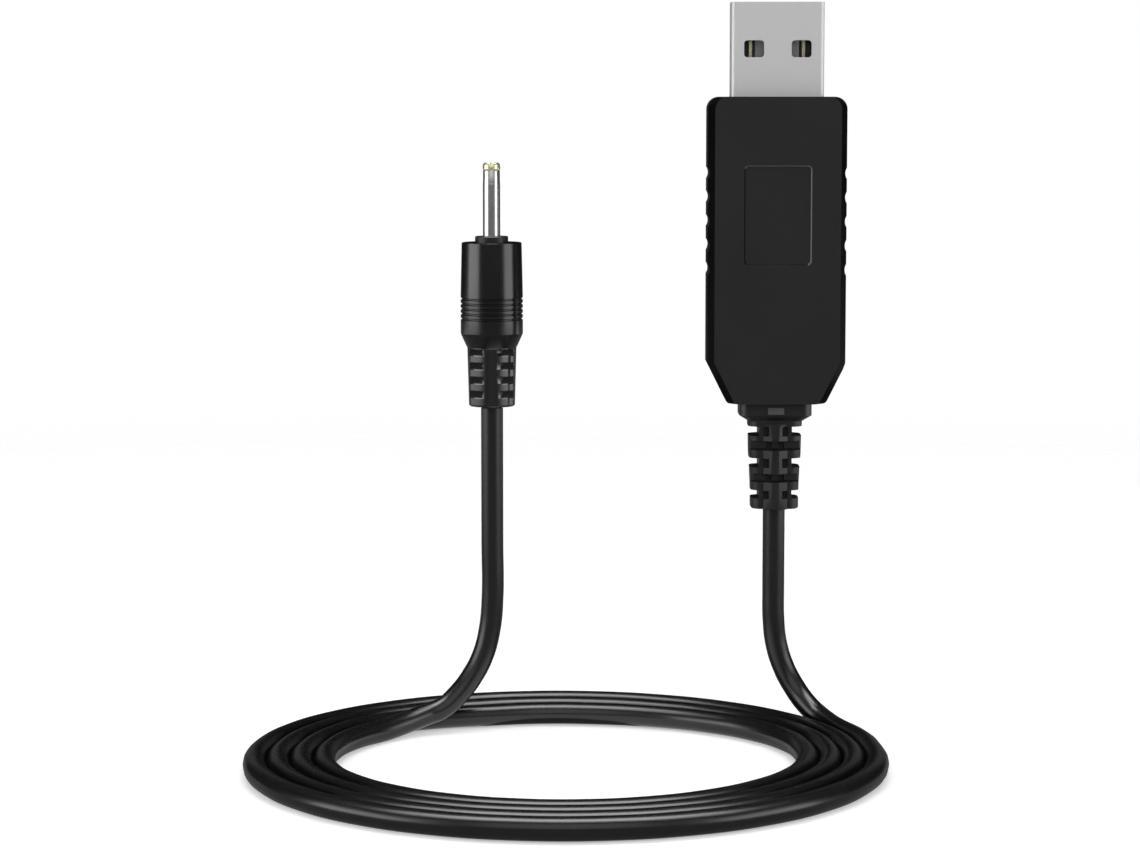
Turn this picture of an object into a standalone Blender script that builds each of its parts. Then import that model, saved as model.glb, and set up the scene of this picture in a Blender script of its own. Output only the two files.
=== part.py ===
# USB charging lead: a flat coil of cord on a table, with a USB plug and a small
# barrel plug standing up from it on their strain reliefs.
# Metres, +Z up. The origin is on the table, under the middle of the coil.

import math

import bmesh
import bpy
from mathutils import Matrix, Vector

MM = 0.001
GAP = 0.3 * MM

# The cord and its coil, a flat spiral that runs inwards, clockwise seen from above
CORD_DIAMETER = 2.8 * MM
COIL_PITCH = 2.87 * MM
COIL_OUTER_RADIUS = 39.33 * MM
COIL_START_ANGLE = math.radians(20.0)
COIL_SWEEP = math.radians(1320.0)
COIL_LEAVING_TURN = math.radians(9.0)
COIL_LEAVING_CLIMB = math.radians(10.0)
POINTS_PER_LOOP = 24
FLAT_CUT = CORD_DIAMETER / 10
COIL_AXIS_HEIGHT = CORD_DIAMETER / 2 - FLAT_CUT
DROP_POINT_SPACING = 2 * CORD_DIAMETER

# Both plugs stand behind the middle of the coil
PLUG_Y = 24.9 * MM
USB_X = 27.85 * MM
DC_X = -9.0 * MM

# Heights of the USB end, from the cord up
USB_CORD_END = 29.7 * MM
HOUSING_BOTTOM = 43.6 * MM
HOUSING_CHAMFER_TOP = 48.8 * MM
HOUSING_TOP = 83.1 * MM
SHELL_BOTTOM = 77.0 * MM
SHELL_TOP = 95.2 * MM

# The USB housing
HOUSING_WIDTH = 17.9 * MM
HOUSING_DEPTH = 9.6 * MM
HOUSING_FOOT_WIDTH = 12.7 * MM
HOUSING_CORNER = 1.6 * MM
HOUSING_FOOT_CORNER = 0.8 * MM
HOUSING_BAND_WIDTH = 0.85 * MM
HOUSING_BAND_DEPTH = 1.9 * MM
HOUSING_WALL = 1.3 * MM
HOUSING_FLOOR = HOUSING_BOTTOM + 1.9 * MM
NOTCH_COUNT = 5
NOTCH_TOP = 73.3 * MM
NOTCH_PITCH = 3.1 * MM
NOTCH_DEPTH = 0.25 * MM
NOTCH_HEIGHT = 1.5 * MM
PANEL_WIDTH = 8.4 * MM
PANEL_BOTTOM = 61.7 * MM
PANEL_TOP = 74.2 * MM
PANEL_CORNER = 0.5 * MM
PANEL_DEPTH = 0.2 * MM

# The USB-A shell, its tongue and its contacts
SHELL_WIDTH = 12.0 * MM
SHELL_DEPTH = 4.5 * MM
SHELL_WALL = 0.3 * MM
SHELL_CORNER = 0.6 * MM
WINDOW_WIDTH = 2.55 * MM
WINDOW_HEIGHT = 2.17 * MM
WINDOW_X = 3.05 * MM
WINDOW_BELOW_TOP = 6.0 * MM
WINDOW_CORNER = 0.4 * MM
TONGUE_TOP = SHELL_TOP - 0.6 * MM
TONGUE_BASE_TOP = 82.8 * MM
CONTACT_WIDTH = 1.0 * MM
CONTACT_THICKNESS = 0.3 * MM
CONTACT_BOTTOM = 73.0 * MM
POWER_CONTACT_X = 3.5 * MM
DATA_CONTACT_X = 1.0 * MM
POWER_CONTACT_TOP = 94.0 * MM
DATA_CONTACT_TOP = 93.0 * MM

# The step-up board and what is soldered to its front
BOARD_WIDTH = 13.6 * MM
BOARD_THICKNESS = 1.0 * MM
BOARD_BOTTOM = 47.6 * MM
BOARD_TOP = 76.4 * MM
BOARD_FRONT_Y = GAP / 2
BOARD_SIDE_X = 5.9 * MM
BOARD_LEDGE_X = 5.2 * MM
WIRE_DIAMETER = 1.1 * MM
WIRE_X = 1.6 * MM
WIRE_TOP = 52.8 * MM

# The USB strain relief, cut in turn from its sides and from its front and back (mm where in lists)
RELIEF_FLATNESS = 0.8
RELIEF_CORNER_SHARE = 0.45
RELIEF_SLOT_FLOOR = 2.12 * MM
RELIEF_RECESS_FLOOR = 2.0 * MM
RELIEF_SLOTS = ((31.1, 32.15), (35.15, 36.35), (39.25, 40.5))
RELIEF_RECESSES = ((33.25, 34.35), (37.4, 38.65))
RELIEF_PROFILE = [
    (3.0, 29.7), (3.1, 30.0), (3.12, 32.2), (3.25, 35.1),
    (3.4, 38.0), (3.5, 40.5), (3.55, 41.2), (4.7, 41.95),
]
COLLAR_WIDE_RADIUS = 4.72 * MM
FLANGE_BOTTOM = 45.8 * MM
FLANGE_TOP = 47.3 * MM
FLANGE_RADIUS = 3.7 * MM
NECK_RADIUS = 2.6 * MM

# The barrel plug's end, from the cord up
DC_CORD_END = 43.0 * MM
DC_NECK = 50.7 * MM
DC_SHOULDER = 52.5 * MM
DC_CAVITY_FLOOR = 53.4 * MM
DC_GRIP_TOP = 64.3 * MM
DC_COLLAR_TOP = 65.1 * MM
SLEEVE_BOTTOM = 58.3 * MM
SLEEVE_TOP = 73.4 * MM
TIP_RING_TOP = 74.6 * MM
SLEEVE_RADIUS = 1.125 * MM
SLEEVE_BORE_RADIUS = 0.85 * MM
PIN_RADIUS = 0.55 * MM
PIN_BORE_RADIUS = 0.35 * MM
PIN_BOTTOM = 57.5 * MM
COLLAR_RADIUS = 2.15 * MM
MOULDING_RADIUS = 2.5 * MM
MOULDING_BOTTOM = 58.9 * MM
GRIP_TOP_RADIUS = 3.9 * MM
GRIP_FOOT_RADIUS = 4.05 * MM
GRIP_NECK_RADIUS = 3.2 * MM
GRIP_CAVITY_RADIUS = MOULDING_RADIUS + GAP
GRIP_WIRE_HOLE_RADIUS = 1.5 * MM
GROOVE_COUNT = 5
GROOVE_BOTTOM = 54.4 * MM
GROOVE_PITCH = 0.65 * MM
GROOVE_DEPTH = 0.15 * MM
DC_WIRE_DIAMETER = 0.9 * MM
DC_WIRE_X = 0.75 * MM
DC_WIRE_NEGATIVE_X = 1.35 * MM
DC_WIRE_BENDS = (55.0 * MM, 56.6 * MM)

# The barrel plug's strain relief, a ladder of pockets in its front and back (heights in mm)
LADDER_FOOT_RADIUS = 2.9 * MM
LADDER_RADIUS = 3.0 * MM
LADDER_ROUNDING = 0.3 * MM
LADDER_HEIGHTS = (44.15, 46.0, 47.85, 49.6)
LADDER_POCKET_HEIGHT = 0.8 * MM
LADDER_POCKET_NEAR = 0.75 * MM
LADDER_POCKET_FAR = 2.4 * MM
LADDER_POCKET_FLOOR = 1.2 * MM

# Each plug tips about an axis along Y, half way up its strain relief
USB_FLEX_HEIGHT = (USB_CORD_END + HOUSING_BOTTOM) / 2
DC_FLEX_HEIGHT = (DC_CORD_END + DC_NECK) / 2

# Route of the free cord under the USB plug: from its strain relief to the coil (mm)
USB_ROUTE = [
    (27.85, 24.9, 29.4), (27.85, 24.9, 24.0), (27.9, 24.9, 18.8), (28.1, 24.9, 15.0),
    (28.6, 24.8, 11.6), (29.5, 24.5, 8.7), (30.7, 23.8, 6.2), (32.1, 22.7, 4.4),
    (33.5, 21.1, 3.1),
]

# Route of the free cord under the barrel plug: from its strain relief to the coil (mm)
DC_ROUTE = [
    (-9.0, 24.9, 42.7), (-9.0, 24.9, 34.0), (-9.0, 24.9, 25.0), (-9.0, 24.9, 17.6),
    (-9.4, 24.9, 13.4), (-10.3, 24.7, 10.0), (-11.7, 24.4, 7.3), (-13.5, 23.9, 5.0),
    (-15.5, 23.2, 3.3),
]


def clear_scene():
    for old in list(bpy.data.objects):
        bpy.data.objects.remove(old, do_unlink=True)


def make_material(name, colour, roughness, metallic=0.0):
    material = bpy.data.materials.new(name)
    material.use_nodes = True
    shader = material.node_tree.nodes["Principled BSDF"]
    shader.inputs["Base Color"].default_value = (*colour, 1.0)
    shader.inputs["Roughness"].default_value = roughness
    shader.inputs["Metallic"].default_value = metallic
    material.diffuse_color = (*colour, 1.0)
    return material


def add_empty(name, location, parent=None):
    empty = bpy.data.objects.new(name, None)
    bpy.context.collection.objects.link(empty)
    empty.parent = parent
    empty.location = location
    return empty


# A mesh is drawn about its plug's own upright axis, with heights from the table.
# It is then lowered by its parent's height, so that its origin is the parent's.
def add_object(name, bm, parent, material=None, smooth_angle=None):
    bmesh.ops.recalc_face_normals(bm, faces=bm.faces)
    mesh = bpy.data.meshes.new(name)
    bm.to_mesh(mesh)
    bm.free()
    mesh.transform(Matrix.Translation((0, 0, -parent.location.z)))
    if material:
        mesh.materials.append(material)
    if smooth_angle:
        mesh.shade_smooth()
        mesh.set_sharp_from_angle(angle=math.radians(smooth_angle))
    piece = bpy.data.objects.new(name, mesh)
    bpy.context.collection.objects.link(piece)
    piece.parent = parent
    return piece


def cut(piece, name, bm):
    cutter = add_object(f"{piece.name}_{name}", bm, piece.parent)
    cutter.hide_render = True
    cutter.display_type = "WIRE"
    modifier = piece.modifiers.new(name, "BOOLEAN")
    modifier.operation = "DIFFERENCE"
    modifier.solver = "EXACT"
    modifier.object = cutter


# A closed body through rings of points, with flat ends; closed joins last ring to first.
def loft(rings, closed=False):
    bm = bmesh.new()
    loops = [[bm.verts.new(point) for point in ring] for ring in rings]
    pairs = list(zip(loops, loops[1:]))
    if closed:
        pairs.append((loops[-1], loops[0]))
    else:
        bm.faces.new(reversed(loops[0]))
        bm.faces.new(loops[-1])
    count = len(rings[0])
    for low, high in pairs:
        for i in range(count):
            j = (i + 1) % count
            bm.faces.new((low[i], low[j], high[j], high[i]))
    return bm


# A turned body: profile points are (radius, height); closed makes a ring with a bore.
def turned(profile, sides=24, closed=False):
    angles = [2 * math.pi * i / sides for i in range(sides)]
    rings = [[(r * math.cos(a), r * math.sin(a), z) for a in angles] for r, z in profile]
    return loft(rings, closed)


# One or more boxes, each given by its lowest and highest corners.
def boxes(*corner_pairs):
    bm = bmesh.new()
    for low, high in corner_pairs:
        low = Vector(low)
        high = Vector(high)
        place = Matrix.Translation((low + high) / 2)
        size = Matrix.Diagonal((*(high - low), 1.0))
        bmesh.ops.create_cube(bm, size=1.0, matrix=place @ size)
    return bm


def rounded_rectangle(width, height, corner, steps=3):
    points = []
    for quarter, (sx, sy) in enumerate([(1, 1), (-1, 1), (-1, -1), (1, -1)]):
        cx = sx * (width / 2 - corner)
        cy = sy * (height / 2 - corner)
        for step in range(steps + 1):
            angle = math.pi / 2 * (quarter + step / steps)
            points.append((cx + corner * math.cos(angle), cy + corner * math.sin(angle)))
    return points


# A body through round-cornered rectangles: profile points are (half width, height).
def drawn_column(profile, flatness, corner_share):
    rings = []
    for half, z in profile:
        outline = rounded_rectangle(2 * half, 2 * half * flatness, half * corner_share, 4)
        rings.append([(x, y, z) for x, y in outline])
    return loft(rings)


# The points of a smooth curve through the route's own points, at an even spacing.
def smooth_route(route, spacing):
    points = [Vector(p) for p in route]
    before = points[0] * 2 - points[1]
    after = points[-1] * 2 - points[-2]
    knots = [before, *points, after]
    dense = []
    fine_steps = 24
    for a, b, c, d in zip(knots, knots[1:], knots[2:], knots[3:]):
        for step in range(fine_steps):
            t = step / fine_steps
            dense.append(0.5 * (2 * b + (c - a) * t + (2 * a - 5 * b + 4 * c - d) * t ** 2
                                + (3 * b - 3 * c + d - a) * t ** 3))
    dense.append(points[-1])
    travelled = [0.0]
    for p, q in zip(dense, dense[1:]):
        travelled.append(travelled[-1] + (q - p).length)
    runs = max(2, round(travelled[-1] / spacing))
    even = []
    index = 0
    for run in range(runs + 1):
        target = travelled[-1] * run / runs
        while index < len(dense) - 2 and travelled[index + 1] < target:
            index += 1
        part = (target - travelled[index]) / (travelled[index + 1] - travelled[index])
        even.append(dense[index].lerp(dense[index + 1], part))
    return even


def add_tube(name, points, radius, parent, material, resolution=2, turn=0.0):
    curve = bpy.data.curves.new(name, "CURVE")
    curve.dimensions = "3D"
    curve.twist_mode = "Z_UP" if turn else "MINIMUM"
    curve.bevel_depth = radius
    curve.bevel_resolution = resolution
    curve.use_fill_caps = True
    spline = curve.splines.new("POLY")
    spline.points.add(len(points) - 1)
    for point, place in zip(spline.points, points):
        point.co = (place[0], place[1], place[2] - parent.location.z, 1.0)
        point.tilt = turn
    curve.materials.append(material)
    tube = bpy.data.objects.new(name, curve)
    bpy.context.collection.objects.link(tube)
    tube.parent = parent
    return tube


# A curve's tube as a mesh, so that it can be cut.
def tube_to_mesh(tube):
    mesh = bpy.data.meshes.new_from_object(tube.evaluated_get(bpy.context.evaluated_depsgraph_get()))
    name = tube.name
    parent = tube.parent
    bpy.data.objects.remove(tube, do_unlink=True)
    mesh.name = name
    solid = bpy.data.objects.new(name, mesh)
    bpy.context.collection.objects.link(solid)
    solid.parent = parent
    return solid


def flatten_underside(piece):
    reach = 3 * COIL_OUTER_RADIUS
    cut(piece, "floor", boxes(((-reach, -reach, -CORD_DIAMETER), (reach, reach, 0))))


# The way that the cord leaves each end of the coil: along it, and a little upwards.
def leaving_direction(angle, backwards):
    along = Vector((math.sin(angle), -math.cos(angle), 0))
    if backwards:
        along = -along
    return along * math.cos(COIL_LEAVING_CLIMB) + Vector((0, 0, math.sin(COIL_LEAVING_CLIMB)))


def coil_points():
    steps = round(COIL_SWEEP / (2 * math.pi) * POINTS_PER_LOOP)
    points = []
    for step in range(steps + 1):
        swept = COIL_SWEEP * step / steps
        angle = COIL_START_ANGLE - swept
        radius = COIL_OUTER_RADIUS - COIL_PITCH * swept / (2 * math.pi)
        points.append(Vector((radius * math.cos(angle), radius * math.sin(angle), COIL_AXIS_HEIGHT)))
    return points


# The least gap between the coil's turns, on the points of its own surface.
def print_least_gap(coil, ring_count):
    places = [v.co for v in coil.data.vertices]
    sides = len(places) // ring_count
    rings = [places[i * sides:(i + 1) * sides] for i in range(ring_count)]
    least = min(
        (p - q).length
        for i, ring in enumerate(rings)
        for other in rings[i + POINTS_PER_LOOP // 2:]
        for p in ring
        for q in other
        if abs(p.x - q.x) < 2 * COIL_PITCH and abs(p.y - q.y) < 2 * COIL_PITCH
    )
    print(f"least gap between the coil's turns: {least / MM:.2f} mm")


def build_cord(base, rubber):
    turns = coil_points()
    to_usb = leaving_direction(COIL_START_ANGLE, True)
    to_dc = leaving_direction(COIL_START_ANGLE - COIL_SWEEP - COIL_LEAVING_TURN, False)
    usb_end = turns[0] + to_usb * CORD_DIAMETER
    dc_end = turns[-1] + to_dc * CORD_DIAMETER
    points = [usb_end, *turns, dc_end]
    flats_sideways = math.radians(30.0)
    radius = CORD_DIAMETER / 2
    coil = tube_to_mesh(add_tube("cord_coil", points, radius, base, rubber, 1, flats_sideways))
    print_least_gap(coil, len(points))
    flatten_underside(coil)

    for name, route, coil_end, direction in (
        ("cord_usb_drop", USB_ROUTE, usb_end, to_usb),
        ("cord_dc_drop", DC_ROUTE, dc_end, to_dc),
    ):
        end = coil_end + direction * GAP
        straight_start = end + direction * CORD_DIAMETER
        whole = [Vector(p) * MM for p in route] + [straight_start]
        path = smooth_route(whole, DROP_POINT_SPACING) + [end]
        add_tube(name, path, radius, base, rubber)
    return coil


# One side of the housing's outline runs up from the foot, and the other is its mirror.
def housing_outline(inset, notch_depth):
    half = HOUSING_WIDTH / 2 - inset
    foot = HOUSING_FOOT_WIDTH / 2 - inset
    corner = HOUSING_CORNER - inset / 2
    side = [
        (foot - HOUSING_FOOT_CORNER, HOUSING_BOTTOM),
        (foot + HOUSING_FOOT_CORNER * 0.4, HOUSING_BOTTOM + HOUSING_FOOT_CORNER * 0.8),
        (half, HOUSING_CHAMFER_TOP),
    ]
    for notch in reversed(range(NOTCH_COUNT)):
        middle = NOTCH_TOP - notch * NOTCH_PITCH
        side.append((half, middle - NOTCH_HEIGHT / 2))
        side.append((half - notch_depth, middle))
        side.append((half, middle + NOTCH_HEIGHT / 2))
    arc_steps = 4
    for step in range(arc_steps + 1):
        angle = math.pi / 2 * step / arc_steps
        rise = corner * math.sin(angle)
        side.append((half - corner + corner * math.cos(angle), HOUSING_TOP - corner + rise))
    return side + [(-x, z) for x, z in reversed(side)]


def housing_half(name, facing, base, plastic):
    levels = [
        (GAP / 2, 0.0, NOTCH_DEPTH),
        (HOUSING_DEPTH / 2 - HOUSING_BAND_DEPTH, 0.0, NOTCH_DEPTH),
        (HOUSING_DEPTH / 2, HOUSING_BAND_WIDTH, 0.0),
    ]
    rings = [
        [(x, facing * y, z) for x, z in housing_outline(inset, notch)]
        for y, inset, notch in levels
    ]
    return add_object(name, loft(rings), base, plastic)


def build_housing(base, plastic):
    inner = HOUSING_DEPTH / 2 - HOUSING_WALL
    seat_bottom = BOARD_TOP + GAP
    seat_x = SHELL_WIDTH / 2 + GAP
    seat_y = SHELL_DEPTH / 2 + GAP
    over = 1.0 * MM
    neck_x = NECK_RADIUS + GAP
    neck_y = NECK_RADIUS * RELIEF_FLATNESS + GAP
    board_x = BOARD_WIDTH / 2 + GAP
    board_back = BOARD_FRONT_Y + BOARD_THICKNESS + GAP

    seat = ((-seat_x, -seat_y, seat_bottom - over), (seat_x, seat_y, HOUSING_TOP + over))
    neck = ((-neck_x, -neck_y, HOUSING_BOTTOM - over), (neck_x, neck_y, HOUSING_FLOOR + over))
    front_pocket = ((-BOARD_SIDE_X, -inner, HOUSING_FLOOR), (BOARD_SIDE_X, over, seat_bottom))
    rear_pocket = ((-BOARD_LEDGE_X, -over, HOUSING_FLOOR), (BOARD_LEDGE_X, inner, seat_bottom))
    board_seat = ((-board_x, -over, BOARD_BOTTOM - GAP), (board_x, board_back, seat_bottom))

    front = housing_half("housing_front_cover", -1, base, plastic)
    cut(front, "pocket", boxes(front_pocket))
    cut(front, "shell_seat", boxes(seat))
    cut(front, "neck_hole", boxes(neck))
    panel = rounded_rectangle(PANEL_WIDTH, PANEL_TOP - PANEL_BOTTOM, PANEL_CORNER)
    middle = (PANEL_TOP + PANEL_BOTTOM) / 2
    panel_levels = (HOUSING_DEPTH / 2 + over, HOUSING_DEPTH / 2 - PANEL_DEPTH)
    cut(front, "panel", loft([[(x, -y, z + middle) for x, z in panel] for y in panel_levels]))

    rear = housing_half("housing_rear_cover", 1, base, plastic)
    cut(rear, "pocket", boxes(rear_pocket))
    cut(rear, "board_seat", boxes(board_seat))
    cut(rear, "shell_seat", boxes(seat))
    cut(rear, "neck_hole", boxes(neck))


def build_usb_connector(base, steel, black, gold):
    outer = rounded_rectangle(SHELL_WIDTH, SHELL_DEPTH, SHELL_CORNER)
    bore = rounded_rectangle(
        SHELL_WIDTH - 2 * SHELL_WALL, SHELL_DEPTH - 2 * SHELL_WALL, SHELL_CORNER - SHELL_WALL)
    order = [(outer, SHELL_BOTTOM), (outer, SHELL_TOP), (bore, SHELL_TOP), (bore, SHELL_BOTTOM)]
    rings = [[(x, y, z) for x, y in outline] for outline, z in order]
    shell = add_object("usb_shell", loft(rings, closed=True), base, steel)
    for side, name in ((-1, "left_windows"), (1, "right_windows")):
        window = rounded_rectangle(WINDOW_WIDTH, WINDOW_HEIGHT, WINDOW_CORNER)
        rings = [
            [(x + side * WINDOW_X, y, z + SHELL_TOP - WINDOW_BELOW_TOP) for x, z in window]
            for y in (-SHELL_DEPTH, SHELL_DEPTH)
        ]
        cut(shell, name, loft(rings))

    half_x = SHELL_WIDTH / 2 - SHELL_WALL - GAP
    half_y = SHELL_DEPTH / 2 - SHELL_WALL - GAP
    over = 1.0 * MM
    contact_back = BOARD_FRONT_Y - GAP
    contact_front = contact_back - CONTACT_THICKNESS
    block = ((-half_x, -half_y, SHELL_BOTTOM + GAP), (half_x, half_y, TONGUE_TOP))
    mouth_low = (-half_x - over, -half_y - over, TONGUE_BASE_TOP)
    mouth_high = (half_x + over, BOARD_FRONT_Y, TONGUE_TOP + over)
    tongue = add_object("usb_insulator", boxes(block), base, black)
    cut(tongue, "mouth", boxes((mouth_low, mouth_high)))
    slot_half = CONTACT_WIDTH / 2 + GAP
    contacts = (
        ("usb_contact_power", -POWER_CONTACT_X, POWER_CONTACT_TOP),
        ("usb_contact_data_minus", -DATA_CONTACT_X, DATA_CONTACT_TOP),
        ("usb_contact_data_plus", DATA_CONTACT_X, DATA_CONTACT_TOP),
        ("usb_contact_ground", POWER_CONTACT_X, POWER_CONTACT_TOP),
    )
    cut(tongue, "slots", boxes(*(
        ((x - slot_half, contact_front - GAP, SHELL_BOTTOM - over),
         (x + slot_half, BOARD_FRONT_Y, TONGUE_BASE_TOP + over))
        for name, x, top in contacts)))
    for name, x, top in contacts:
        low = (x - CONTACT_WIDTH / 2, contact_front, CONTACT_BOTTOM)
        high = (x + CONTACT_WIDTH / 2, contact_back, top)
        add_object(name, boxes((low, high)), base, gold)


def build_board(base, board_green, dark, ceramic, red, black):
    low = (-BOARD_WIDTH / 2, BOARD_FRONT_Y, BOARD_BOTTOM)
    high = (BOARD_WIDTH / 2, BOARD_FRONT_Y + BOARD_THICKNESS, BOARD_TOP)
    add_object("circuit_board", boxes((low, high)), base, board_green)
    # name, material, middle across, middle height, width, height, thickness (mm)
    mounted = (
        ("power_inductor", dark, -2.4, 66.8, 5.2, 5.2, 2.4),
        ("rectifier_diode", dark, 3.2, 66.8, 2.6, 4.3, 2.0),
        ("converter_chip", dark, 3.0, 61.2, 2.9, 1.7, 1.1),
        ("input_capacitor", ceramic, -3.8, 61.0, 1.6, 3.2, 1.3),
        ("output_capacitor", ceramic, -1.0, 56.4, 3.2, 1.6, 1.3),
        ("feedback_resistor_upper", dark, 3.2, 58.0, 2.0, 1.25, 0.6),
        ("feedback_resistor_lower", dark, 3.2, 55.6, 2.0, 1.25, 0.6),
    )
    back = BOARD_FRONT_Y - GAP
    for name, material, x, z, width, height, thickness in mounted:
        low = (x * MM - width * MM / 2, back - thickness * MM, z * MM - height * MM / 2)
        high = (x * MM + width * MM / 2, back, z * MM + height * MM / 2)
        add_object(name, boxes((low, high)), base, material)
    for name, side, material in (("usb_positive_wire", -1, red), ("usb_negative_wire", 1, black)):
        y = back - WIRE_DIAMETER / 2
        points = [(side * WIRE_X, y, WIRE_TOP), (side * WIRE_X, y, FLANGE_TOP + GAP)]
        add_tube(name, points, WIRE_DIAMETER / 2, base, material)


def build_usb_relief(base, rubber):
    profile = [(r * MM, z * MM) for r, z in RELIEF_PROFILE]
    profile += [(COLLAR_WIDE_RADIUS, HOUSING_BOTTOM - GAP), (NECK_RADIUS, HOUSING_BOTTOM - GAP)]
    profile += [(NECK_RADIUS, FLANGE_BOTTOM), (FLANGE_RADIUS, FLANGE_BOTTOM), (FLANGE_RADIUS, FLANGE_TOP)]
    column = drawn_column(profile, RELIEF_FLATNESS, RELIEF_CORNER_SHARE)
    relief = add_object("usb_strain_relief", column, base, rubber, 40)
    reach = 6.0 * MM
    slots = []
    for low, high in RELIEF_SLOTS:
        slots.append(((-reach, -reach, low * MM), (-RELIEF_SLOT_FLOOR, reach, high * MM)))
        slots.append(((RELIEF_SLOT_FLOOR, -reach, low * MM), (reach, reach, high * MM)))
    cut(relief, "side_slots", boxes(*slots))
    recesses = []
    for low, high in RELIEF_RECESSES:
        recesses.append(((-reach, -reach, low * MM), (reach, -RELIEF_RECESS_FLOOR, high * MM)))
        recesses.append(((-reach, RELIEF_RECESS_FLOOR, low * MM), (reach, reach, high * MM)))
    cut(relief, "face_recesses", boxes(*recesses))


def build_dc_relief(base, rubber):
    profile = [
        (LADDER_FOOT_RADIUS, DC_CORD_END), (LADDER_RADIUS, DC_CORD_END + LADDER_ROUNDING),
        (GRIP_NECK_RADIUS, DC_NECK - GAP),
    ]
    relief = add_object("dc_strain_relief", turned(profile), base, rubber, 40)
    reach = 5.0 * MM
    pockets = []
    for height in LADDER_HEIGHTS:
        low = height * MM - LADDER_POCKET_HEIGHT / 2
        high = low + LADDER_POCKET_HEIGHT
        for left, right in (
            (-LADDER_POCKET_FAR, -LADDER_POCKET_NEAR),
            (LADDER_POCKET_NEAR, LADDER_POCKET_FAR),
        ):
            pockets.append(((left, -reach, low), (right, -LADDER_POCKET_FLOOR, high)))
            pockets.append(((left, LADDER_POCKET_FLOOR, low), (right, reach, high)))
    cut(relief, "pockets", boxes(*pockets))


def build_dc_plug(base, rubber, black, steel, ivory, gold, red):
    outside = [(GRIP_NECK_RADIUS, DC_NECK), (GRIP_FOOT_RADIUS, DC_SHOULDER)]
    for groove in range(GROOVE_COUNT):
        z = GROOVE_BOTTOM + groove * GROOVE_PITCH
        outside.append((GRIP_FOOT_RADIUS, z - GROOVE_PITCH / 3))
        outside.append((GRIP_FOOT_RADIUS - GROOVE_DEPTH, z))
        outside.append((GRIP_FOOT_RADIUS, z + GROOVE_PITCH / 3))
    rim = 0.4 * MM
    outside += [(GRIP_TOP_RADIUS, DC_GRIP_TOP - rim), (GRIP_TOP_RADIUS - rim, DC_GRIP_TOP)]
    inside = [
        (GRIP_CAVITY_RADIUS, DC_GRIP_TOP), (GRIP_CAVITY_RADIUS, DC_CAVITY_FLOOR),
        (GRIP_WIRE_HOLE_RADIUS, DC_CAVITY_FLOOR), (GRIP_WIRE_HOLE_RADIUS, DC_NECK),
    ]
    add_object("dc_grip", turned(outside + inside, closed=True), base, rubber, 40)

    bore = SLEEVE_RADIUS + GAP
    moulding = [
        (MOULDING_RADIUS, MOULDING_BOTTOM), (MOULDING_RADIUS, DC_GRIP_TOP), (COLLAR_RADIUS, DC_GRIP_TOP),
        (COLLAR_RADIUS, DC_COLLAR_TOP), (bore, DC_COLLAR_TOP), (bore, MOULDING_BOTTOM),
    ]
    add_object("dc_inner_moulding", turned(moulding, closed=True), base, black, 40)

    pipes = (
        ("dc_sleeve", steel, SLEEVE_RADIUS, SLEEVE_BORE_RADIUS, SLEEVE_BOTTOM, SLEEVE_TOP),
        ("dc_tip_ring", ivory, SLEEVE_RADIUS, PIN_BORE_RADIUS, SLEEVE_TOP + GAP, TIP_RING_TOP),
        ("dc_centre_contact", gold, PIN_RADIUS, PIN_BORE_RADIUS, PIN_BOTTOM, SLEEVE_TOP),
    )
    for name, material, radius, hole, low, high in pipes:
        profile = [(radius, low), (radius, high), (hole, high), (hole, low)]
        add_object(name, turned(profile, 16, closed=True), base, material, 40)

    bend_low, bend_high = DC_WIRE_BENDS
    positive = [
        (0, 0, PIN_BOTTOM - GAP), (0, 0, bend_high),
        (-DC_WIRE_X, 0, bend_low), (-DC_WIRE_X, 0, DC_NECK),
    ]
    negative = [
        (DC_WIRE_NEGATIVE_X, 0, SLEEVE_BOTTOM - GAP), (DC_WIRE_NEGATIVE_X, 0, bend_high),
        (DC_WIRE_X, 0, bend_low), (DC_WIRE_X, 0, DC_NECK),
    ]
    add_tube("dc_positive_wire", positive, DC_WIRE_DIAMETER / 2, base, red)
    add_tube("dc_negative_wire", negative, DC_WIRE_DIAMETER / 2, base, black)


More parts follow.
